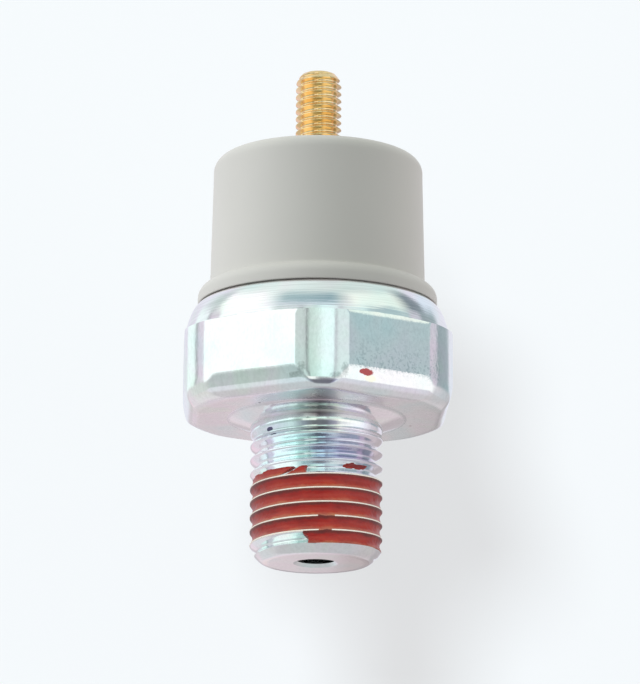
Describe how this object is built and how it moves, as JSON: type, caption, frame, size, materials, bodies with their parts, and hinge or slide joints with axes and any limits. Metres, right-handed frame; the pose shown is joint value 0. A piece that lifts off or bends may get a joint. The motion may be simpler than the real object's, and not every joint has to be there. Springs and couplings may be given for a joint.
{
  "type": "oil pressure sender",
  "caption": "Engine oil pressure sender: threaded hexagon steel body, moulded grey cap and a threaded terminal stud; inside, a diaphragm drives a sliding contact.",
  "frame": {"origin": "centre of the flat end of the mounting thread, the lowest face of the part", "axes": "+Z along the main axis from the thread end to the terminal stud, -Y towards one corner of the hexagon"},
  "size_m": [0.0282, 0.03, 0.0532],
  "materials": {
    "zinc_steel": "bright zinc plate with a faint rainbow tint",
    "cap_plastic": "moulded, matte, warm grey",
    "terminal_brass": "bare, with a machined thread",
    "thread_sealant": "dried sealant in the thread grooves, satin",
    "seal_rubber": "moulded rubber",
    "spring_bronze": "rolled bronze sheet",
    "plate_steel": "pressed steel, plated",
    "spring_steel": "drawn spring wire",
    "frame_brass": "pressed brass sheet",
    "card_board": "laminated insulating board",
    "resistance_wire": "fine resistance wire under varnish"
  },
  "bodies": {
    "housing": {"hex_body": "zinc_steel", "port_restrictor": "frame_brass", "diaphragm_seal": "seal_rubber", "diaphragm": "spring_bronze", "return_spring": "spring_steel", "base_plate": "plate_steel", "bridge_frame": "frame_brass", "frame_rivets": "frame_brass", "pivot_pin": "plate_steel", "resistor_card": "card_board", "resistor_winding": "resistance_wire", "card_insulator": "card_board", "card_rivets": "frame_brass", "terminal_strip": "spring_bronze", "ground_strip": "spring_bronze", "cap_seal": "seal_rubber", "terminal_stud": "terminal_brass", "cap": "cap_plastic"},
    "rod": {"push_rod": "frame_brass", "pressure_plate": "plate_steel"},
    "lever": {"wiper_lever": "frame_brass", "wiper_contact": "spring_bronze"}
  },
  "joints": [
    {"name": "rod_slide", "type": "slide", "parent": "housing", "child": "rod", "axis": [0, 0, 1], "range_m": [0, 0.001], "stiffness_N_per_m": 1150, "springref_m": -0.001, "deforming": ["return_spring", "diaphragm"]},
    {"name": "lever_pivot", "type": "hinge", "parent": "housing", "child": "lever", "pos_m": [0.00235, 0, 0.02706], "axis": [0, 1, 0], "range_deg": [0, 24]}
  ],
  "couplings": [
    {"joint": "lever_pivot", "follows": "rod_slide", "rad_per_m": 418.88}
  ]
}
